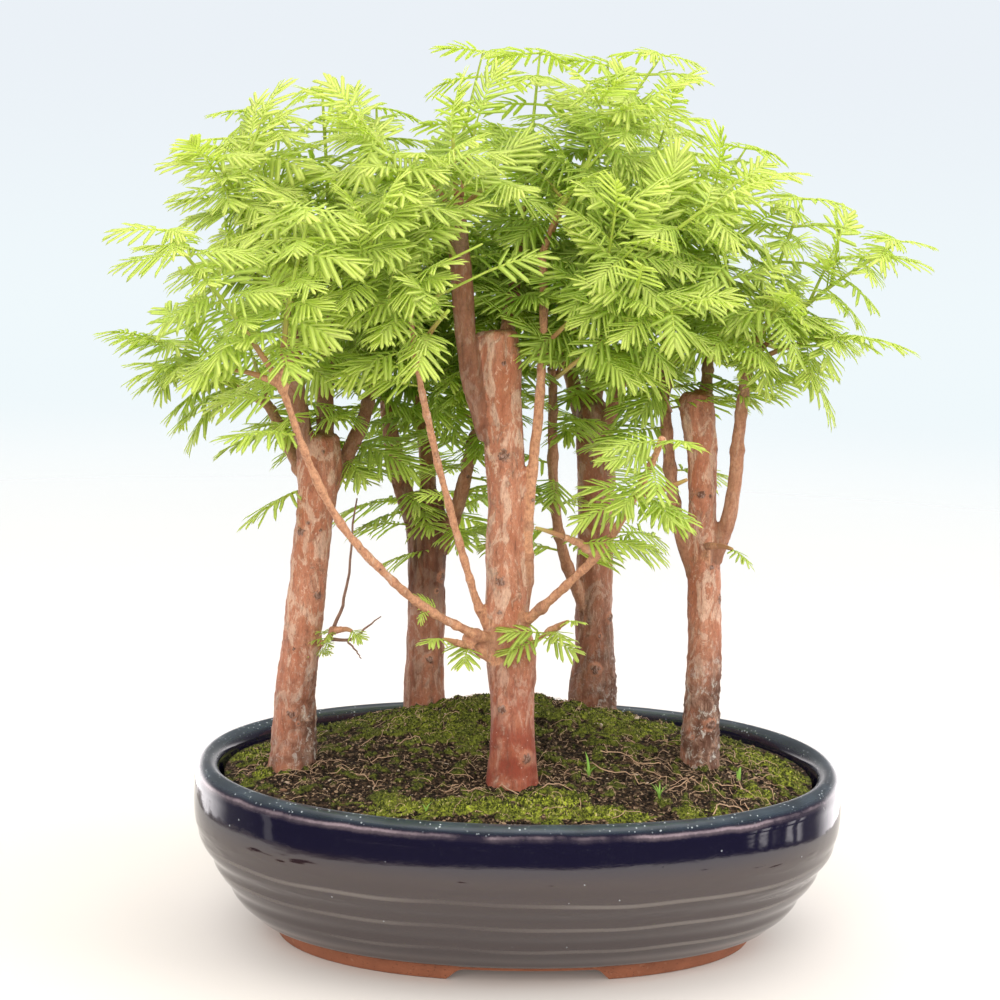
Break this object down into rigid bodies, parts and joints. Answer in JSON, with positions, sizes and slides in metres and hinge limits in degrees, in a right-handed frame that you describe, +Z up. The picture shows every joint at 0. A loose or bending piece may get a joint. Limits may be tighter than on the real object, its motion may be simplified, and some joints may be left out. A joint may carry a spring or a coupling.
{
  "type": "dawn redwood bonsai forest",
  "caption": "Forest planting of dawn redwood bonsai: chopped trunks in mounded soil, thin branches and feathery green shoots, in an oval glazed tray on low clay feet.",
  "frame": {"origin": "centre of the whole planting's outline in plan, on the surface that the tray's feet stand on", "axes": "+X along the tray's length, to the right from the front; +Y to the back; +Z up"},
  "size_m": [0.3322, 0.2756, 0.3641],
  "materials": {
    "glaze": "gloss",
    "soil": "matte",
    "bark": "matte",
    "leaf": "satin"
  },
  "bodies": {
    "root": {"shoot_back_left_01": "leaf", "shoot_back_left_02": "leaf", "shoot_back_left_03": "leaf", "shoot_back_left_04": "leaf", "shoot_back_left_05": "leaf", "shoot_back_left_06": "leaf", "shoot_back_left_07": "leaf", "shoot_back_right_01": "leaf", "shoot_back_right_02": "leaf", "shoot_back_right_03": "leaf", "shoot_back_right_04": "leaf", "shoot_back_right_05": "leaf", "shoot_back_right_06": "leaf", "shoot_back_right_07": "leaf", "shoot_back_right_08": "leaf", "shoot_back_right_09": "leaf", "shoot_front_01": "leaf", "shoot_front_02": "leaf", "shoot_front_03": "leaf", "shoot_front_04": "leaf", "shoot_front_05": "leaf", "shoot_front_06": "leaf", "shoot_front_07": "leaf", "shoot_front_08": "leaf", "shoot_front_09": "leaf", "shoot_front_10": "leaf", "shoot_front_11": "leaf", "shoot_front_12": "leaf", "shoot_front_13": "leaf", "shoot_front_14": "leaf", "shoot_front_15": "leaf", "shoot_front_16": "leaf", "shoot_left_01": "leaf", "shoot_left_02": "leaf", "shoot_left_03": "leaf", "shoot_left_04": "leaf", "shoot_left_05": "leaf", "shoot_left_06": "leaf", "shoot_left_07": "leaf", "shoot_left_08": "leaf", "shoot_left_09": "leaf", "shoot_left_10": "leaf", "shoot_left_11": "leaf", "shoot_right_01": "leaf", "shoot_right_02": "leaf", "shoot_right_03": "leaf", "shoot_right_04": "leaf", "shoot_right_05": "leaf", "shoot_right_06": "leaf", "shoot_right_07": "leaf", "shoot_right_08": "leaf", "shoot_right_09": "leaf", "shoot_right_10": "leaf", "soil": "soil", "tray": "glaze", "tree_back_left": "bark", "tree_back_right": "bark", "tree_front": "bark", "tree_left": "bark", "tree_right": "bark"}
  },
  "joints": []
}
